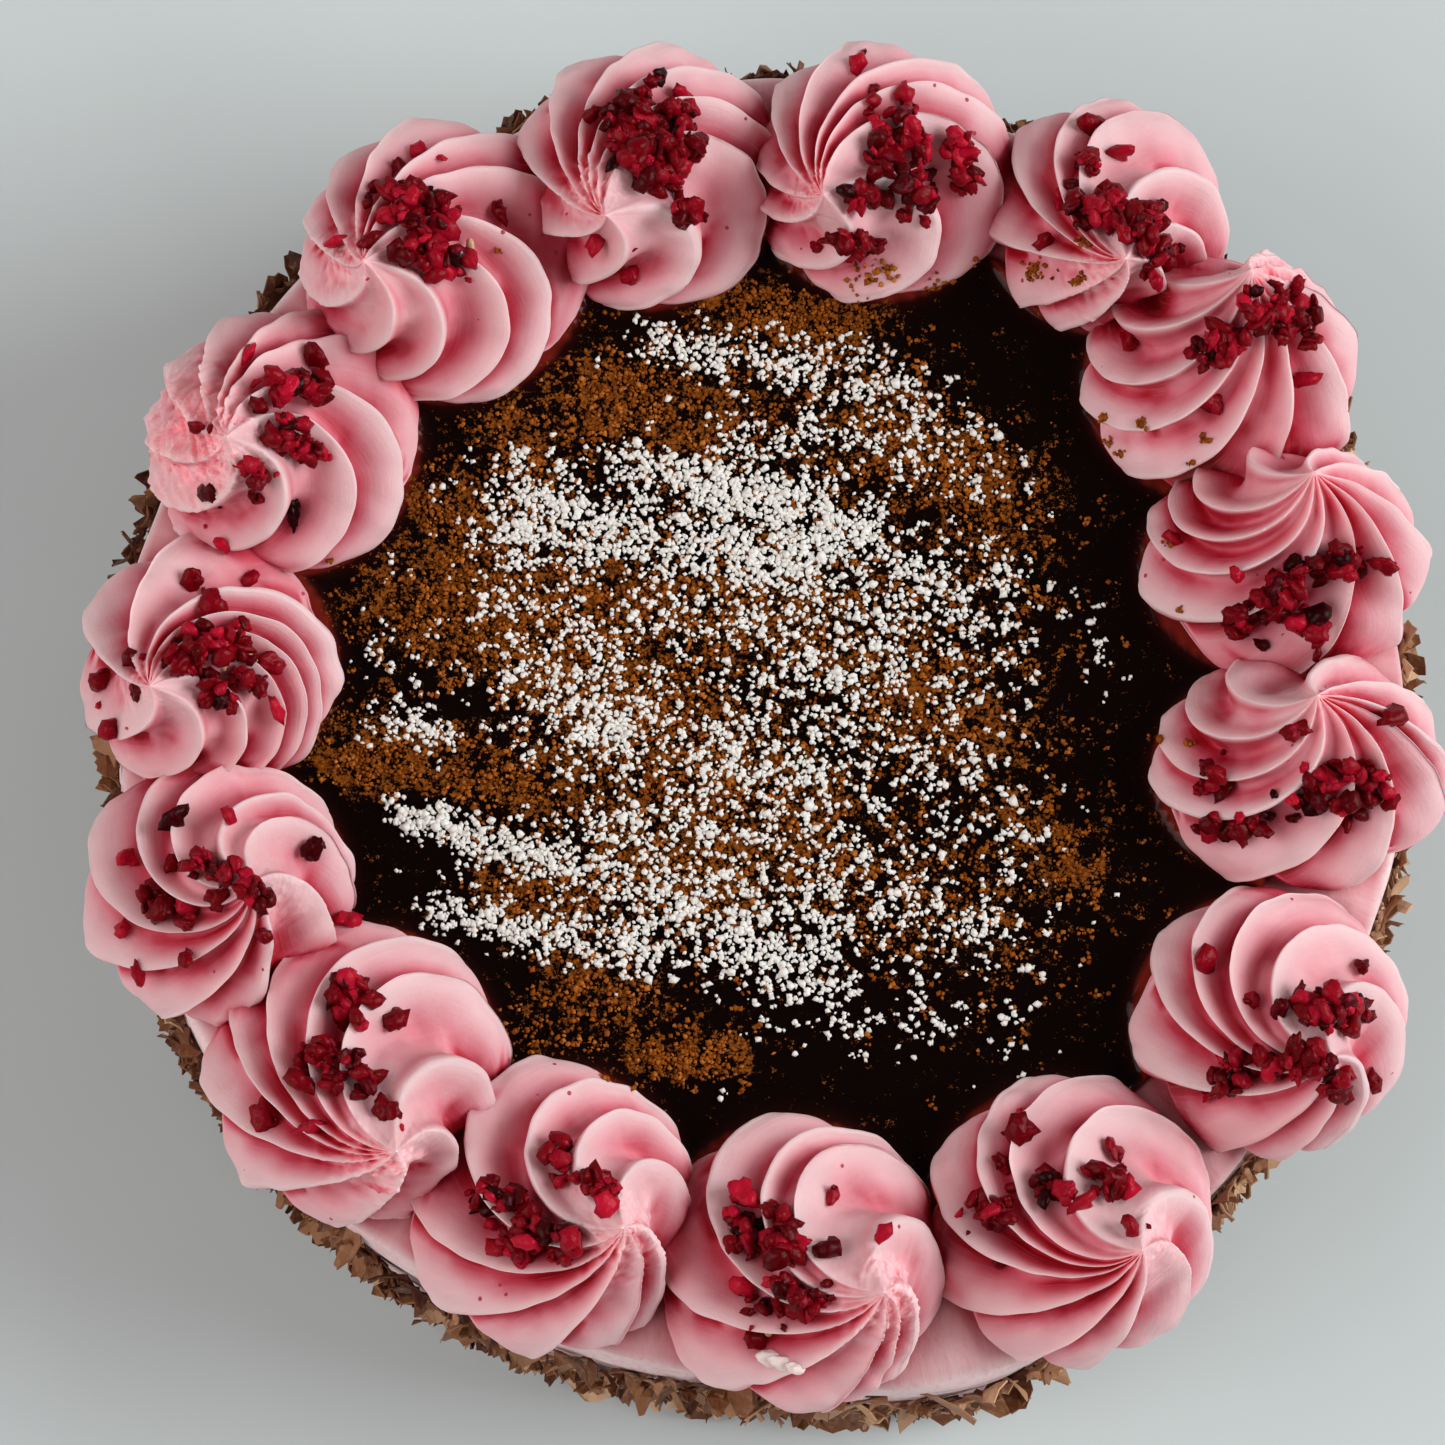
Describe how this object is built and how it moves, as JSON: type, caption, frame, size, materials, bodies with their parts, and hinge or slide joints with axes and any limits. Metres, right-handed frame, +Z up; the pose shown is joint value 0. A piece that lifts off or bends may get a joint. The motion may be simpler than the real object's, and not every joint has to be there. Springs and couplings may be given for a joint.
{
  "type": "chocolate cake",
  "caption": "Round chocolate cake with shaved chocolate on its side, a poured dark glaze and a ring of pink piped cream swirls with raspberry crumbs.",
  "frame": {"origin": "middle of the flat foot the cake stands on", "axes": "+Z up through the middle of the cake, +Y towards the top edge of the picture, +X towards its right edge"},
  "size_m": [0.2162, 0.219, 0.0934],
  "materials": {
    "frosted_body": "rough chocolate shavings over pink cream",
    "dark_glaze": "shiny",
    "raspberry_cream": "soft satin cream"
  },
  "bodies": {
    "root": {"cake_body": "frosted_body", "chocolate_glaze": "dark_glaze", "rosette_01": "raspberry_cream", "rosette_02": "raspberry_cream", "rosette_03": "raspberry_cream", "rosette_04": "raspberry_cream", "rosette_05": "raspberry_cream", "rosette_06": "raspberry_cream", "rosette_07": "raspberry_cream", "rosette_08": "raspberry_cream", "rosette_09": "raspberry_cream", "rosette_10": "raspberry_cream", "rosette_11": "raspberry_cream", "rosette_12": "raspberry_cream", "rosette_13": "raspberry_cream", "rosette_14": "raspberry_cream", "rosette_15": "raspberry_cream"}
  },
  "joints": []
}
